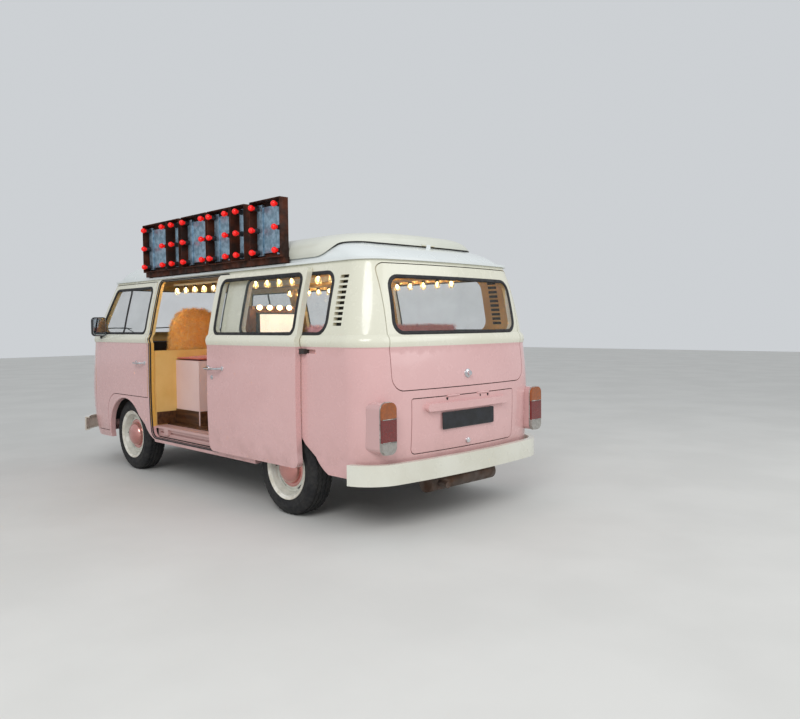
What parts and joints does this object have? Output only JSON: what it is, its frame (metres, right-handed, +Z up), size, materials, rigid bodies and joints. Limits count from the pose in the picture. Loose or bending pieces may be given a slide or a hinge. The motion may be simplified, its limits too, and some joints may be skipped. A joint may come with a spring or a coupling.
{
  "type": "camper van",
  "caption": "Rear-engined camper van in pink and cream with an open sliding side door, a lifting roof lid, a blank bulb sign on the roof and a furnished cabin.",
  "frame": {"origin": "on the ground under the middle of the overall length between the bumpers, on the centre line", "axes": "+X forward, +Y to the van's left, +Z up"},
  "size_m": [4.5048, 1.956, 2.175],
  "materials": {
    "body_pink": "gloss",
    "body_cream": "gloss",
    "roof_cream": "gloss",
    "chassis": "satin",
    "cast": "rough",
    "engine_grey": "rough",
    "exhaust": "dull",
    "glass": "clear",
    "tyre": "matte",
    "rim_cream": "gloss",
    "lamp_clear": "clear",
    "lamp_red": "gloss",
    "rusty_steel": "rusted",
    "bulb_red": "gloss",
    "chrome": "polished",
    "black_plastic": "matte",
    "seat_cloth": "fluffy",
    "cushion_cloth": "fluffy",
    "wood": "oiled",
    "white_board": "painted"
  },
  "bodies": {
    "root": {"box_seat": "white_board", "cabinet": "wood", "cushions": "cushion_cloth", "dashboard": "black_plastic", "engine": "engine_grey", "engine_bay": "chassis", "exhaust": "exhaust", "front_axle": "cast", "front_bumper": "body_cream", "front_lamps": "lamp_clear", "front_panel": "body_pink", "front_seats": "seat_cloth", "rear_axle": "cast", "rear_bench": "wood", "rear_bumper": "body_cream", "rear_panel": "body_pink", "roof": "roof_cream", "seat_boxes": "chassis", "side_panel_left": "body_pink", "side_panel_right": "body_pink", "side_windows": "glass", "sign_bulbs": "bulb_red", "sign_frame": "rusty_steel", "sliding_door": "body_pink", "sliding_door_glass": "glass", "tail_lamps": "lamp_red", "underbody": "chassis", "wheel_houses": "chassis", "windscreen": "glass"},
    "door_left": {"door_left": "body_pink", "door_glass_left": "glass", "mirror_left": "chrome"},
    "knuckle_left": {"knuckle_left": "cast"},
    "wheel_front_left": {"tyre_front_left": "tyre", "wheel_front_left": "rim_cream"},
    "wheel_rear_left": {"tyre_rear_left": "tyre", "wheel_rear_left": "rim_cream"},
    "door_right": {"door_right": "body_pink", "door_glass_right": "glass", "mirror_right": "chrome"},
    "knuckle_right": {"knuckle_right": "cast"},
    "wheel_front_right": {"tyre_front_right": "tyre", "wheel_front_right": "rim_cream"},
    "wheel_rear_right": {"tyre_rear_right": "tyre", "wheel_rear_right": "rim_cream"},
    "tailgate": {"tailgate": "body_pink", "tailgate_glass": "glass"},
    "engine_lid": {"engine_lid": "body_pink"},
    "pop_top": {"pop_top": "roof_cream"},
    "steering_wheel": {"steering_wheel": "black_plastic"}
  },
  "joints": [
    {"name": "steer_left", "type": "hinge", "parent": "root", "child": "knuckle_left", "pos_m": [1.1475, 0.61, 0.32], "axis": [0, 0, 1], "range_deg": [-30, 30]},
    {"name": "steer_right", "type": "hinge", "parent": "root", "child": "knuckle_right", "pos_m": [1.1475, -0.61, 0.32], "axis": [0, 0, 1], "range_deg": [-30, 30]},
    {"name": "wheel_front_left_spin", "type": "hinge", "parent": "knuckle_left", "child": "wheel_front_left", "pos_m": [1.1475, 0.6975, 0.32], "axis": [0, 1, 0], "continuous": true},
    {"name": "wheel_rear_left_spin", "type": "hinge", "parent": "root", "child": "wheel_rear_left", "pos_m": [-1.2525, 0.7275, 0.32], "axis": [0, 1, 0], "continuous": true},
    {"name": "wheel_front_right_spin", "type": "hinge", "parent": "knuckle_right", "child": "wheel_front_right", "pos_m": [1.1475, -0.6975, 0.32], "axis": [0, 1, 0], "continuous": true},
    {"name": "wheel_rear_right_spin", "type": "hinge", "parent": "root", "child": "wheel_rear_right", "pos_m": [-1.2525, -0.7275, 0.32], "axis": [0, 1, 0], "continuous": true},
    {"name": "door_left_open", "type": "hinge", "parent": "root", "child": "door_left", "pos_m": [1.762, 0.858, 0.9], "axis": [0, 0, -1], "range_deg": [0, 65]},
    {"name": "door_right_open", "type": "hinge", "parent": "root", "child": "door_right", "pos_m": [1.762, -0.858, 0.9], "axis": [0, 0, 1], "range_deg": [0, 65]},
    {"name": "tailgate_lift", "type": "hinge", "parent": "root", "child": "tailgate", "pos_m": [-2.066, 0, 1.684], "axis": [0, 1, 0], "range_deg": [0, 80]},
    {"name": "engine_lid_lift", "type": "hinge", "parent": "root", "child": "engine_lid", "pos_m": [-2.196, 0, 0.831], "axis": [0, 1, 0], "range_deg": [0, 70]},
    {"name": "pop_top_lift", "type": "hinge", "parent": "root", "child": "pop_top", "pos_m": [-1.837, 0, 1.84], "axis": [0, -1, 0], "range_deg": [0, 27]},
    {"name": "steering_wheel_turn", "type": "hinge", "parent": "root", "child": "steering_wheel", "pos_m": [1.4, -0.385, 1.16], "axis": [-0.5, 0, 0.866], "range_deg": [-420, 420]}
  ],
  "couplings": [
    {"joint": "steer_right", "follows": "steer_left", "ratio": 1},
    {"joint": "steering_wheel_turn", "follows": "steer_left", "ratio": 14}
  ]
}
